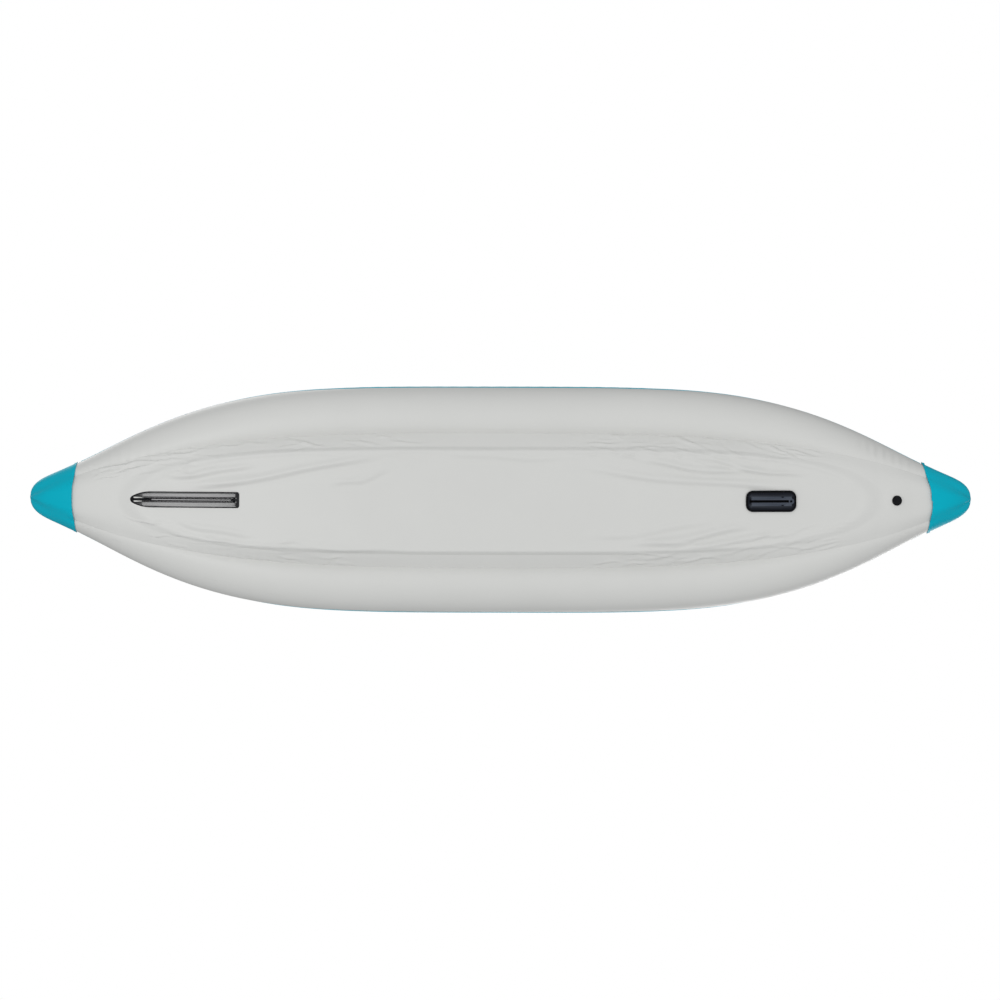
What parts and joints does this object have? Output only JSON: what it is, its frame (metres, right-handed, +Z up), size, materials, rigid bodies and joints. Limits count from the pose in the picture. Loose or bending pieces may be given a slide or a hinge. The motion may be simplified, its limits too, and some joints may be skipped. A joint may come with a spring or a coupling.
{
  "type": "inflatable kayak",
  "caption": "Inflatable kayak for a lone paddler with side air tubes, drop-stitch floor, turquoise decks, padded seat, footrest, carry handles, fin box and drain plug.",
  "frame": {"origin": "amidships on the centreline, at the level of the flat hull bottom", "axes": "+X towards the bow, +Y to port, +Z up"},
  "size_m": [3.34, 0.7996, 0.5549],
  "materials": {
    "hull_grey": "matte coated fabric",
    "cover_turquoise": "matte coated fabric",
    "liner_charcoal": "coated fabric",
    "chamber_film": "coated fabric bladder",
    "floor_grey": "coated drop-stitch fabric",
    "mat_black": "grooved foam mat",
    "moulded_black": "moulded, semi-gloss",
    "moulded_navy": "moulded, satin",
    "valve_dark": "moulded, satin",
    "valve_white": "moulded",
    "spring_steel": "drawn wire",
    "seal_rubber": "smooth",
    "seat_fabric": "woven, padded",
    "webbing_black": "ribbed webbing",
    "ring_steel": "polished wire",
    "patch_charcoal": "welded patch",
    "cord_black": "braided elastic cord",
    "zip_black": "coated zip tape",
    "slider_metal": "cast",
    "grip_rubber": "ribbed grip"
  },
  "bodies": {
    "hull": {"hull_bottom_skin": "hull_grey", "port_side_cover": "cover_turquoise", "starboard_side_cover": "cover_turquoise", "port_inner_liner": "liner_charcoal", "starboard_inner_liner": "liner_charcoal", "bow_deck": "cover_turquoise", "stern_deck": "cover_turquoise", "bow_cap": "cover_turquoise", "stern_cap": "cover_turquoise", "port_air_chamber": "chamber_film", "starboard_air_chamber": "chamber_film", "floor_chamber": "floor_grey", "floor_mat": "mat_black", "bow_keel_strip": "moulded_black", "fin_box": "moulded_navy", "drain_seat": "moulded_black", "port_valve_body": "valve_dark", "port_valve_spring": "spring_steel", "starboard_valve_body": "valve_dark", "starboard_valve_spring": "spring_steel", "floor_valve_body": "valve_dark", "floor_valve_spring": "spring_steel", "seat_cushion": "seat_fabric", "port_front_strap": "webbing_black", "starboard_front_strap": "webbing_black", "port_rear_strap": "webbing_black", "starboard_rear_strap": "webbing_black", "strap_buckles": "moulded_black", "strap_d_rings": "ring_steel", "d_ring_patches": "patch_charcoal", "bow_handle_anchors": "patch_charcoal", "stern_handle_anchors": "patch_charcoal", "bow_bungee": "cord_black", "bow_bungee_loops": "patch_charcoal", "stern_bungee": "cord_black", "stern_bungee_loops": "patch_charcoal", "port_zip": "zip_black", "starboard_zip": "zip_black"},
    "backrest": {"seat_backrest": "seat_fabric"},
    "footrest": {"footrest": "seat_fabric", "footrest_strap": "webbing_black"},
    "bow_handle": {"bow_handle_grip": "grip_rubber", "bow_handle_webbing": "webbing_black"},
    "stern_handle": {"stern_handle_grip": "grip_rubber", "stern_handle_webbing": "webbing_black"},
    "port_zip_slider": {"port_zip_slider": "slider_metal"},
    "starboard_zip_slider": {"starboard_zip_slider": "slider_metal"},
    "drain_seal": {"drain_seal": "seal_rubber"},
    "drain_plug": {"drain_plug": "moulded_black"},
    "port_valve_stem": {"port_valve_stem": "valve_white"},
    "port_valve_cap_seal": {"port_valve_cap_seal": "seal_rubber"},
    "port_valve_cap": {"port_valve_cap": "valve_dark"},
    "starboard_valve_stem": {"starboard_valve_stem": "valve_white"},
    "starboard_valve_cap_seal": {"starboard_valve_cap_seal": "seal_rubber"},
    "starboard_valve_cap": {"starboard_valve_cap": "valve_dark"},
    "floor_valve_stem": {"floor_valve_stem": "valve_white"},
    "floor_valve_cap_seal": {"floor_valve_cap_seal": "seal_rubber"},
    "floor_valve_cap": {"floor_valve_cap": "valve_dark"}
  },
  "joints": [
    {"name": "backrest_fold", "type": "hinge", "parent": "hull", "child": "backrest", "pos_m": [-0.5, 0, 0.176], "axis": [0, 1, 0], "range_deg": [0, 92]},
    {"name": "footrest_slide", "type": "slide", "parent": "hull", "child": "footrest", "axis": [1, 0, 0], "range_m": [-0.16, 0.04]},
    {"name": "bow_handle_swing", "type": "hinge", "parent": "hull", "child": "bow_handle", "pos_m": [1.385, 0, 0.3564], "axis": [0, 1, 0], "range_deg": [0, 110]},
    {"name": "stern_handle_swing", "type": "hinge", "parent": "hull", "child": "stern_handle", "pos_m": [-1.385, 0, 0.3564], "axis": [0, -1, 0], "range_deg": [0, 110]},
    {"name": "port_zip_slide", "type": "slide", "parent": "hull", "child": "port_zip_slider", "axis": [1, 0, 0], "range_m": [0, 0.6]},
    {"name": "starboard_zip_slide", "type": "slide", "parent": "hull", "child": "starboard_zip_slider", "axis": [1, 0, 0], "range_m": [0, 0.6]},
    {"name": "port_valve_push", "type": "slide", "parent": "hull", "child": "port_valve_stem", "axis": [0, 0, -1], "range_m": [0, 0.004], "stiffness_N_per_m": 400, "springref_m": -0.002, "deforming": ["port_valve_spring"]},
    {"name": "port_valve_cap_lift", "type": "slide", "parent": "hull", "child": "port_valve_cap_seal", "axis": [0, 0, 1], "range_m": [0, 0.0131]},
    {"name": "port_valve_cap_turn", "type": "hinge", "parent": "port_valve_cap_seal", "child": "port_valve_cap", "pos_m": [-0.6, 0.28028, 0.26039], "axis": [0, 0, 1], "range_deg": [0, 180]},
    {"name": "starboard_valve_push", "type": "slide", "parent": "hull", "child": "starboard_valve_stem", "axis": [0, 0, -1], "range_m": [0, 0.004], "stiffness_N_per_m": 400, "springref_m": -0.002, "deforming": ["starboard_valve_spring"]},
    {"name": "starboard_valve_cap_lift", "type": "slide", "parent": "hull", "child": "starboard_valve_cap_seal", "axis": [0, 0, 1], "range_m": [0, 0.0131]},
    {"name": "starboard_valve_cap_turn", "type": "hinge", "parent": "starboard_valve_cap_seal", "child": "starboard_valve_cap", "pos_m": [-0.6, -0.28028, 0.26039], "axis": [0, 0, 1], "range_deg": [0, 180]},
    {"name": "floor_valve_push", "type": "slide", "parent": "hull", "child": "floor_valve_stem", "axis": [0, 0, -1], "range_m": [0, 0.004], "stiffness_N_per_m": 400, "springref_m": -0.002, "deforming": ["floor_valve_spring"]},
    {"name": "floor_valve_cap_lift", "type": "slide", "parent": "hull", "child": "floor_valve_cap_seal", "axis": [0, 0, 1], "range_m": [0, 0.0131]},
    {"name": "floor_valve_cap_turn", "type": "hinge", "parent": "floor_valve_cap_seal", "child": "floor_valve_cap", "pos_m": [-0.69, 0, 0.10407], "axis": [0, 0, 1], "range_deg": [0, 180]},
    {"name": "drain_plug_draw", "type": "slide", "parent": "hull", "child": "drain_seal", "axis": [-0.2729, 0, -0.962], "range_m": [0, 0.0221]},
    {"name": "drain_plug_turn", "type": "hinge", "parent": "drain_seal", "child": "drain_plug", "pos_m": [-1.403, 0, 0.12837], "axis": [-0.2729, 0, -0.962], "range_deg": [0, 540]}
  ],
  "couplings": [
    {"joint": "port_valve_cap_lift", "follows": "port_valve_cap_turn", "m_per_rad": 0.004138},
    {"joint": "starboard_valve_cap_lift", "follows": "starboard_valve_cap_turn", "m_per_rad": 0.004138},
    {"joint": "floor_valve_cap_lift", "follows": "floor_valve_cap_turn", "m_per_rad": 0.004138},
    {"joint": "drain_plug_draw", "follows": "drain_plug_turn", "m_per_rad": 0.0023343}
  ]
}
